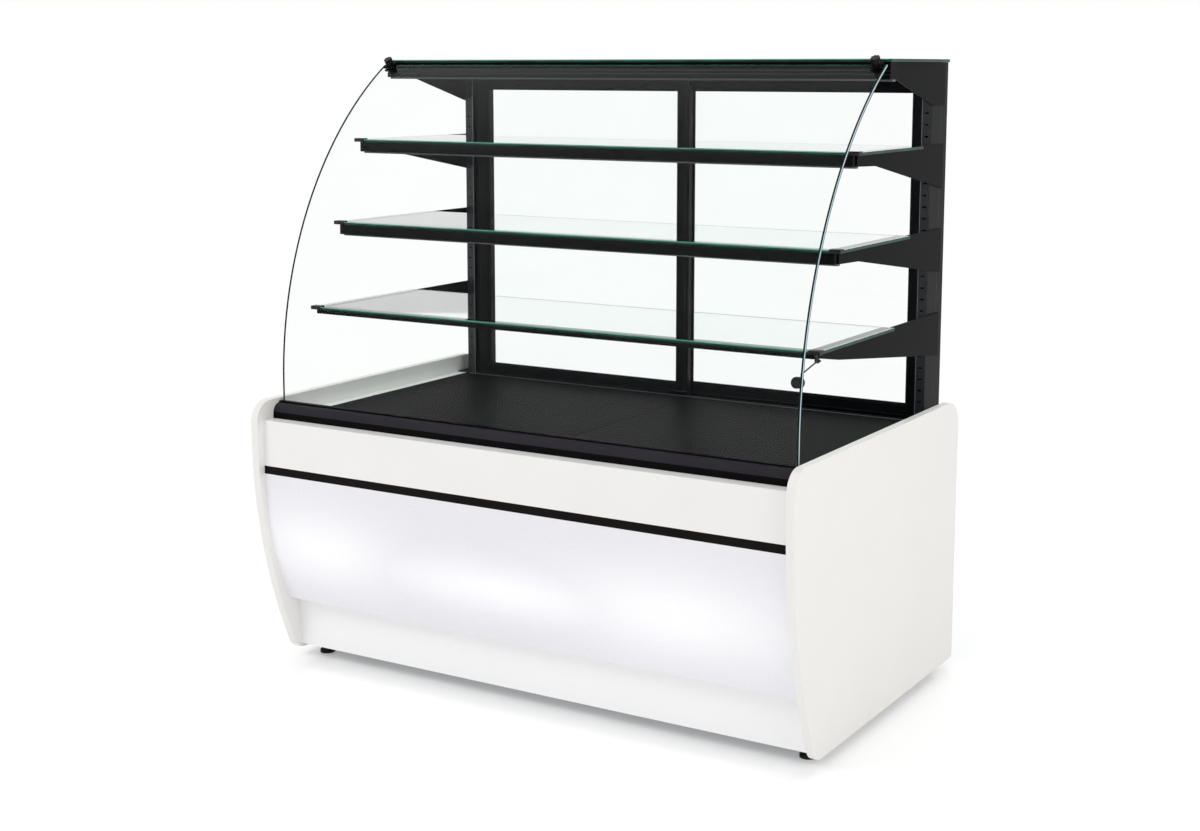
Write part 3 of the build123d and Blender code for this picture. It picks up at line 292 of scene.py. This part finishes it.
finishes = {
    "side_white": surface("side_white", srgb(240, 238, 235), 0.34, spread=0.008, grain=1400, bump=0.05,
                          specular=0.35),
    "band_white": surface("band_white", srgb(242, 241, 240), 0.3, spread=0.01, grain=1400, bump=0.04,
                          specular=0.35),
    "white_panel": surface("white_panel", srgb(254, 254, 254), 0.32, spread=0.008, grain=1400, bump=0.04,
                           specular=0.3),
    "tray_white": surface("tray_white", srgb(236, 236, 236), 0.5, spread=0.02),
    "dark_strip": surface("dark_strip", srgb(20, 17, 15), 0.4, spread=0.15, grain=900, specular=0.05),
    "rail_black": surface("rail_black", srgb(9, 9, 11), 0.4, spread=0.15, grain=1200,
                          stretch=(0.02, 1, 1), specular=0.04),
    "rail_grey": surface("rail_grey", srgb(44, 42, 47), 0.4, spread=0.1, grain=1200,
                         stretch=(0.02, 1, 1), specular=0.06),
    "deck_graphite": surface("deck_graphite", srgb(12, 13, 13), 0.5, spread=0.08, grain=1600, bump=0.06,
                             specular=0.015),
    "post_black": surface("post_black", srgb(9, 10, 12), 0.35, spread=0.2, grain=1200,
                          stretch=(1, 1, 0.02), specular=0.04),
    "bracket_black": surface("bracket_black", srgb(9, 10, 12), 0.45, spread=0.15, grain=1500, bump=0.08,
                             specular=0.03),
    "header_black": surface("header_black", srgb(6, 6, 8), 0.4, spread=0.15, grain=1200,
                            stretch=(0.02, 1, 1), specular=0.03),
    "black_track": surface("black_track", srgb(10, 10, 12), 0.4, spread=0.15, grain=1200,
                           stretch=(0.02, 1, 1), specular=0.03),
    "door_frame": surface("door_frame", srgb(12, 13, 16), 0.3, spread=0.15, grain=1200,
                          stretch=(1, 1, 0.02), specular=0.07),
    "black_plastic": surface("black_plastic", srgb(12, 12, 13), 0.42, spread=0.2, grain=2200, bump=0.12,
                             specular=0.25),
    "black_metal": surface("black_metal", srgb(10, 10, 12), 0.42, spread=0.2, grain=1500, bump=0.06,
                           specular=0.05),
    "rubber": surface("rubber", srgb(9, 9, 10), 0.6, spread=0.2, grain=1800, bump=0.1, specular=0.1),
    "trim_grey": surface("trim_grey", srgb(118, 122, 126), 0.35, spread=0.1, grain=1200, metallic=0.4,
                         stretch=(0.02, 1, 1)),
    "slot_grey": surface("slot_grey", srgb(32, 34, 38), 0.32, spread=0.15, grain=1200,
                         stretch=(1, 1, 0.02), specular=0.3),
    "foot_black": surface("foot_black", srgb(16, 16, 16), 0.6, spread=0.25, grain=800, bump=0.2,
                          specular=0.2),
    "galvanised": surface("galvanised", srgb(160, 164, 167), 0.42, spread=0.14, grain=90, bump=0.05,
                          metallic=0.8, patch=28.0),
    "liner_steel": surface("liner_steel", srgb(186, 188, 190), 0.3, spread=0.06, grain=1200,
                           metallic=0.95, stretch=(0.02, 1, 1)),
    "aluminium_fins": surface("aluminium_fins", srgb(190, 192, 196), 0.35, spread=0.08, grain=800,
                              metallic=0.9),
    "compressor_black": surface("compressor_black", srgb(22, 22, 23), 0.3, spread=0.2, grain=500,
                                bump=0.08, coat=0.3),
    "fan_plastic": surface("fan_plastic", srgb(28, 28, 30), 0.5, spread=0.2, grain=900),
    "foam": surface("foam", srgb(228, 222, 196), 0.85, spread=0.08, grain=420, bump=0.5,
                    bump_distance=0.001),
    "tray_plastic": surface("tray_plastic", srgb(172, 175, 178), 0.5, spread=0.05, grain=900),
    "control_black": surface("control_black", srgb(22, 22, 24), 0.42, spread=0.12, grain=2000, bump=0.1,
                             specular=0.25),
    "rocker_plastic": surface("rocker_plastic", srgb(16, 16, 17), 0.25, spread=0.1, grain=1500),
    "display_glass": surface("display_glass", srgb(12, 8, 9), 0.08, spread=0.1, grain=600, coat=0.6),
    "screw_steel": surface("screw_steel", srgb(176, 178, 180), 0.3, spread=0.08, grain=900, metallic=0.9),
    "stay_steel": surface("stay_steel", srgb(38, 40, 42), 0.35, spread=0.1, grain=900, specular=0.4),
    "led_strip": surface("led_strip", srgb(104, 107, 111), 0.45, spread=0.04, grain=900, specular=0.1),
    "led_bar": surface("led_bar", srgb(240, 242, 248), 0.4, spread=0.03, grain=900),
    "front_glass": glass("front_glass", srgb(253, 255, 254), smear=0.02, ior=1.12),
    "clear_glass": glass("clear_glass", srgb(252, 254, 253), smear=0.03, ior=1.15),
    "shelf_glass": glass("shelf_glass", srgb(246, 252, 250), smear=0.04),
    "top_glass": glass("top_glass", srgb(246, 252, 250), smear=0.04),
    "edge_green": surface("edge_green", srgb(16, 62, 50), 0.25, spread=0.5, grain=300, patch=16.0,
                          stretch=(0.2, 1, 1), specular=0.12),
    # Painted highlight: the pale line along the front arris of the glass sheets
    "edge_mint_highlight": surface("edge_mint_highlight", srgb(112, 176, 160), 0.25, spread=0.25, grain=300, patch=14.0,
                         specular=0.15),
    # Dark end faces of the front glass, and the painted shade band beside them
    "edge_dark": surface("edge_dark", srgb(12, 28, 26), 0.3, spread=0.35, grain=300, patch=16.0,
                         specular=0.08),
    # Painted highlight: the pale line on the end faces of the front glass
    "edge_ice_highlight": surface("edge_ice_highlight", srgb(186, 212, 220), 0.25, spread=0.15, grain=300, patch=12.0),
}
finishes["light_acrylic"] = glow_panel(
    "light_acrylic", srgb(228, 228, 232), (srgb(138, 138, 144), srgb(255, 255, 254)), 0.24
)

for entry in frame["record"]["subparts"]:
    node = nodes[entry["node"]]
    node.data.materials.clear()
    node.data.materials.append(finishes[entry["material_slot"]])
    for face in node.data.polygons:
        face.material_index = 0


def paint(name, finish, test):
    """Gives a finish to the faces of a CAD node whose centre (in mm) and normal pass a test."""
    mesh = nodes[name].data
    mesh.materials.append(finishes[finish])
    index = len(mesh.materials) - 1
    for face in mesh.polygons:
        if test(face.center / MM, face.normal):
            face.material_index = index


# Faces with a finish of their own: glass edges, fronts and grooves of the posts, and the rail nose, whose
# upper faces get a lighter grey as a painted highlight
GLASS_TILT = math.radians(GLASS_ANGLE)
GLASS_END = Vector((0, math.sin(GLASS_TILT), math.cos(GLASS_TILT)))
paint("front_glass", "edge_dark", lambda at, n: abs(n.x) > ALONG)
paint("front_glass", "edge_green", lambda at, n: abs(n.x) < ACROSS and n.dot(GLASS_END) > ALONG_CLOSELY)
for shelf in ("upper", "middle", "lower"):
    paint(f"shelf_glass_{shelf}", "edge_green", lambda at, n: abs(n.z) < ASIDE)
paint("top_glass", "edge_green", lambda at, n: abs(n.z) < ASIDE)
# Painted highlight: the upper faces of the front rail nose in a lighter grey, where it catches light from
# above
paint("front_rail", "rail_grey", lambda at, n: abs(n.x) < ASIDE and at.z > RAIL_SPLIT_Z)
paint("rear_posts", "slot_grey", lambda at, n: n.y < -ALONG)
paint("rear_posts", "trim_grey", lambda at, n: abs(at.y - GROOVE_Y) < GROOVE_HALF)


# Pieces built here, in millimetres

def piece(name, points, faces, finish, body="case"):
    """A mesh of points in millimetres that rides on a body."""
    mesh = bpy.data.meshes.new(name)
    mesh.from_pydata([Vector(point) * MM for point in points], [], faces)
    mesh.update()
    mesh.materials.append(finishes[finish])
    made = bpy.data.objects.new(name, mesh)
    bpy.context.scene.collection.objects.link(made)
    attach(made, body)


def loops_to_faces(loops, size, closed):
    """Faces between loops of points that follow one another; the ends are capped unless it closes."""
    faces = []
    for step in range(loops if closed else loops - 1):
        a = step * size
        b = (step + 1) % loops * size
        for i in range(size):
            j = (i + 1) % size
            faces.append((a + i, a + j, b + j, b + i))
    if not closed:
        faces.append(tuple(range(size - 1, -1, -1)))
        faces.append(tuple((loops - 1) * size + i for i in range(size)))
    return faces


def bar(name, outline, x0, x1, finish):
    """A closed outline of (y, z) points carried along x."""
    points = [(x, y, z) for x in (x0, x1) for y, z in outline]
    piece(name, points, loops_to_faces(2, len(outline), False), finish)


def ring(name, x0, x1, z0, z1, profile, finish, body="case"):
    """A frame around a rectangle in x and z; its profile is (inset, y) points."""
    corners = ((x0, z0, 1, 1), (x1, z0, -1, 1), (x1, z1, -1, -1), (x0, z1, 1, -1))
    points = [
        (x + toward_x * inset, y, z + toward_z * inset)
        for x, z, toward_x, toward_z in corners
        for inset, y in profile
    ]
    piece(name, points, loops_to_faces(4, len(profile), True), finish, body)


def front_line(name, y, z0, z1, x0, x1, finish):
    """A thin line on a face that looks towards the customer, proud of it."""
    outline = [(y - TRIM_PROUD, z0), (y - TRIM_PROUD, z1), (y, z1), (y, z0)]
    bar(name, outline, x0, x1, finish)


def add_prism(points, faces, near, far):
    """Adds a closed solid between two loops of points."""
    first = len(points)
    points += near + far
    faces += [tuple(first + i for i in loop) for loop in loops_to_faces(2, len(near), False)]


def corners_of(node):
    """Lowest and highest corner of a node in millimetres."""
    low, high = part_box(node)
    return Vector(low) / MM, Vector(high) / MM


def glass_path(offset):
    """(y, z) points along the front glass, beside its centre line."""
    path = [(GLASS_Y + offset, GLASS_FOOT_Z)]
    radius = GLASS_RADIUS - offset
    for step in range(GLASS_STEPS + 1):
        turn = GLASS_TILT * step / GLASS_STEPS
        y = GLASS_Y + GLASS_RADIUS - radius * math.cos(turn)
        path.append((y, GLASS_BEND_Z + radius * math.sin(turn)))
    return path


def glass_strip(name, x0, x1, inner, outer, finish):
    """A thin strip that follows one upright edge of the front glass, for a painted highlight or painted
    shade.
    """
    points = []
    for (y_in, z_in), (y_out, z_out) in zip(glass_path(inner), glass_path(outer)):
        points += [(x0, y_in, z_in), (x1, y_in, z_in), (x1, y_out, z_out), (x0, y_out, z_out)]
    faces = loops_to_faces(len(points) // 4, 4, False)
    piece(name, points, faces, finish, "front_glass")


# Painted highlight and painted shade: a pale line on each end face, and a dark band beside it on the
# outer face
for side, word in ((-1, "left"), (1, "right")):
    edge = side * GLASS_HALF_LENGTH
    proud = side * (GLASS_HALF_LENGTH + TRIM_PROUD)
    shade_end = side * (GLASS_HALF_LENGTH - EDGE_SHADE)
    outer_face = -GLASS_HALF_THICK
    glass_strip(f"glass_edge_highlight_{word}", edge, proud, outer_face, 0, "edge_ice_highlight")
    glass_strip(f"glass_edge_shade_{word}", edge, shade_end, outer_face,
                outer_face - TRIM_PROUD / 2, "edge_dark")

# Painted highlight: a pale mint line along the front top arris of every level sheet of glass
for node, reach, slot_name in (
    ("shelf_glass_upper", CLIP_SPAN, "shelf_glass"),
    ("shelf_glass_middle", CLIP_SPAN, "shelf_glass"),
    ("shelf_glass_lower", CLIP_SPAN, "shelf_glass"),
    ("top_glass", GLASS_HALF_LENGTH, "top_glass"),
):
    low, high = corners_of(node)
    line_top = high.z - EDGE_DROP
    front_line(f"{node}_arris_highlight", low.y, line_top - EDGE_HIGHLIGHT_LINE, line_top, -reach, reach,
               "edge_mint_highlight")

# Painted highlight: grey lines on the lips of the groove in the header
low, high = corners_of("header_profile")
for word, edge in (("upper", HEADER_GROOVE_TOP), ("lower", HEADER_GROOVE_BOTTOM - TRIM_HEIGHT)):
    front_line(f"header_lip_highlight_{word}", low.y, edge, edge + TRIM_HEIGHT, low.x, high.x,
               "slot_grey")

# Painted highlight: a pale edge where the deck meets the rear sill
high = corners_of("deck_plate_left")[1]
sill_low = corners_of("rear_sill")[0]
outline = [
    (high.y - TRIM_HEIGHT, high.z),
    (high.y - TRIM_HEIGHT / 2, high.z + TRIM_HEIGHT),
    (sill_low.y, high.z + TRIM_HEIGHT),
    (sill_low.y, high.z),
]
bar("sill_edge_highlight", outline, -CLIP_SPAN, CLIP_SPAN, "trim_grey")

# Painted highlight: pale lines down the inner front corners of the posts
low, high = corners_of("rear_posts")
for side, word in ((-1, "left"), (1, "right")):
    inner = side * (high.x - POST_WIDTH)
    front_line(f"post_corner_highlight_{word}", low.y, low.z, high.z, inner, inner + side * TRIM_HEIGHT,
               "trim_grey")

# On both faces of each door: a grey line where the frame steps, a painted highlight along the step, a
# gasket around the pane and the mitred joints
for word in ("left", "right"):
    body = f"door_{word}"
    low, high = corners_of(f"door_frame_{word}")
    pane_low, pane_high = corners_of(f"door_glass_{word}")
    mid_y = (pane_low.y + pane_high.y) / 2
    door_bottom = pane_low.z - (pane_low.x - low.x)
    half_depth = (high.y - low.y) / 2
    for face, toward in (("front", -1), ("rear", 1)):
        seat = mid_y + toward * DOOR_PANE_HALF
        lip = mid_y + toward * half_depth
        profile = [
            (STILE - GASKET_LIFT, lip),
            (STILE - GASKET_LIFT, lip + toward * TRIM_PROUD),
            (STILE + GASKET_LIFT, lip - toward * GASKET_LIFT),
            (STILE + GASKET_WIDTH, seat + toward * TRIM_PROUD),
            (STILE + GASKET_WIDTH, seat),
            (STILE, seat),
        ]
        # Painted highlight: a lighter grey line along the step in the frame
        step = [
            (STEP_INSET, lip),
            (STEP_INSET, lip + toward * TRIM_PROUD),
            (STEP_INSET + TRIM_HEIGHT, lip + toward * TRIM_PROUD),
            (STEP_INSET + TRIM_HEIGHT, lip),
        ]
        ring(f"frame_step_highlight_{word}_{face}", low.x, high.x, door_bottom, high.z, step, "slot_grey",
             body)
        ring(f"gasket_{word}_{face}", low.x, high.x, door_bottom, high.z, profile, "rubber",
             body)
        points = []
        faces = []
        for x, z, toward_x, toward_z in (
            (low.x, door_bottom, 1, 1),
            (high.x, door_bottom, -1, 1),
            (high.x, high.z, -1, -1),
            (low.x, high.z, 1, -1),
        ):
            half = TRIM_PROUD / 2
            sheets = []
            for y in (lip, lip + toward * TRIM_PROUD / 4):
                sheets.append([
                    (x + toward_x * half, y, z),
                    (x + toward_x * STILE, y, z + toward_z * (STILE - half)),
                    (x + toward_x * (STILE - half), y, z + toward_z * STILE),
                    (x, y, z + toward_z * half),
                ])
            add_prism(points, faces, *sheets)
        piece(f"mitres_{word}_{face}", points, faces, "rubber", body)

# Painted shade: dark crosses stand for the shaded recesses in the heads of the cover screws
high = corners_of("cover_screws")[1]
tops = [face.center / MM for face in nodes["cover_screws"].data.polygons if face.normal.y > ALONG]
centres = []
for top in tops:
    if all((centre - top).length >= SCREW_SLOT for centre in centres):
        centres.append(top)
points = []
faces = []
for centre in centres:
    for long_x, long_z in ((SCREW_SLOT, SCREW_SLOT_WIDTH), (SCREW_SLOT_WIDTH, SCREW_SLOT)):
        sheets = []
        for y in (high.y - TRIM_PROUD, high.y + TRIM_PROUD / 4):
            sheets.append([
                (centre.x - long_x / 2, y, centre.z - long_z / 2),
                (centre.x + long_x / 2, y, centre.z - long_z / 2),
                (centre.x + long_x / 2, y, centre.z + long_z / 2),
                (centre.x - long_x / 2, y, centre.z + long_z / 2),
            ])
        add_prism(points, faces, *sheets)
piece("screw_recess_shade", points, faces, "rubber")

# Bezel around the display
low, high = corners_of("temperature_display")
bezel = [
    (-BEZEL_OUTSET, low.y),
    (-BEZEL_SHOULDER, high.y + BEZEL_PROUD),
    (BEZEL_INSET, high.y + BEZEL_PROUD),
    (BEZEL_FOOT, low.y),
]
ring("display_bezel", low.x, high.x, low.z, high.z, bezel, "black_plastic")

# Softened edges on the square pieces
for name in (
    "deck_plate_left", "deck_plate_right", "shelf_rails", "shelf_brackets", "top_brackets",
    "header_profile", "door_frame_left", "door_frame_right", "shelf_clips", "glass_clamps",
    "well_caps", "plinth", "accent_strip",
):
    soften = nodes[name].modifiers.new("soft_edge", "BEVEL")
    soften.width = SOFT_EDGE * MM
    soften.segments = 2
    soften.limit_method = "ANGLE"
    soften.angle_limit = math.radians(SOFT_EDGE_ANGLE)

# Camera
bpy.ops.object.camera_add(location=CAMERA_PLACE)
camera = bpy.context.object
camera.data.sensor_width = SENSOR_WIDTH
camera.data.sensor_fit = "HORIZONTAL"
camera.data.lens = SENSOR_WIDTH * FOCAL_PX / IMAGE_WIDTH_PX
camera.data.shift_y = CAMERA_SHIFT
camera.rotation_euler = Euler((math.radians(90 - CAMERA_TILT), 0, math.radians(CAMERA_TURN)))
bpy.context.scene.camera = camera


def area_light(name, place, target, size, power):
    """A soft rectangular lamp that faces a target and shows in no mirror or glass."""
    data = bpy.data.lights.new(name, "AREA")
    data.shape = "RECTANGLE"
    data.size, data.size_y = size
    data.energy = power
    lamp = bpy.data.objects.new(name, data)
    lamp.location = place
    lamp.rotation_euler = (Vector(target) - Vector(place)).to_track_quat("-Z", "Y").to_euler()
    lamp.visible_glossy = False
    lamp.visible_transmission = False
    bpy.context.scene.collection.objects.link(lamp)


for lamp_row in LAMPS:
    area_light(*lamp_row)

# World: white wherever it is seen or mirrored, softer as light on the object
world = bpy.data.worlds.new("studio")
bpy.context.scene.world = world
world.use_nodes = True
tree = world.node_tree
ambient = tree.nodes["Background"]
ambient.inputs["Color"].default_value = WHITE
ambient.inputs["Strength"].default_value = AMBIENT
seen = add_node(tree, "ShaderNodeBackground", Color=WHITE, Strength=1.0)
path = tree.nodes.new("ShaderNodeLightPath")
direct = math_of(tree, "MAXIMUM", path.outputs["Is Camera Ray"], path.outputs["Is Glossy Ray"])
visible = math_of(tree, "MAXIMUM", direct, path.outputs["Is Transmission Ray"])
mix = tree.nodes.new("ShaderNodeMixShader")
tree.links.new(visible, mix.inputs["Fac"])
tree.links.new(ambient.outputs["Background"], mix.inputs[1])
tree.links.new(seen.outputs["Background"], mix.inputs[2])
tree.links.new(mix.outputs["Shader"], tree.nodes["World Output"].inputs["Surface"])

# Floor: pale and faintly glossy near the case, plain white towards the background
bpy.ops.mesh.primitive_plane_add(size=FLOOR_SIZE, location=(0, 0, 0))
floor = bpy.context.object
floor.name = "floor"
floor_mat, tree, shader = new_material("floor_white")
sheen = noise_of(tree, scale=2.0, detail=3.0)
tint_with(tree, shader, sheen, FLOOR_DARK, FLOOR_LIGHT)
roughen_with(tree, shader, sheen, FLOOR_ROUGHNESS[0], FLOOR_ROUGHNESS[1])
shader.inputs["Specular IOR Level"].default_value = FLOOR_SPECULAR
glow = add_node(tree, "ShaderNodeEmission", Color=WHITE, Strength=FLOOR_GLOW)
lit = tree.nodes.new("ShaderNodeAddShader")
tree.links.new(shader.outputs["BSDF"], lit.inputs[0])
tree.links.new(glow.outputs["Emission"], lit.inputs[1])
white = add_node(tree, "ShaderNodeEmission", Color=WHITE, Strength=1.0)
coords = tree.nodes.new("ShaderNodeTexCoord")
distance = tree.nodes.new("ShaderNodeVectorMath")
distance.operation = "LENGTH"
tree.links.new(coords.outputs["Object"], distance.inputs[0])
fade = add_node(tree, "ShaderNodeMapRange", From_Min=FLOOR_NEAR, From_Max=FLOOR_FAR)
fade.interpolation_type = "SMOOTHSTEP"
tree.links.new(distance.outputs["Value"], fade.inputs["Value"])
blend = tree.nodes.new("ShaderNodeMixShader")
tree.links.new(fade.outputs["Result"], blend.inputs["Fac"])
tree.links.new(lit.outputs["Shader"], blend.inputs[1])
tree.links.new(white.outputs["Emission"], blend.inputs[2])
tree.links.new(blend.outputs["Shader"], tree.nodes["Material Output"].inputs["Surface"])
floor.data.materials.append(floor_mat)

bpy.context.scene.view_settings.view_transform = "Standard"
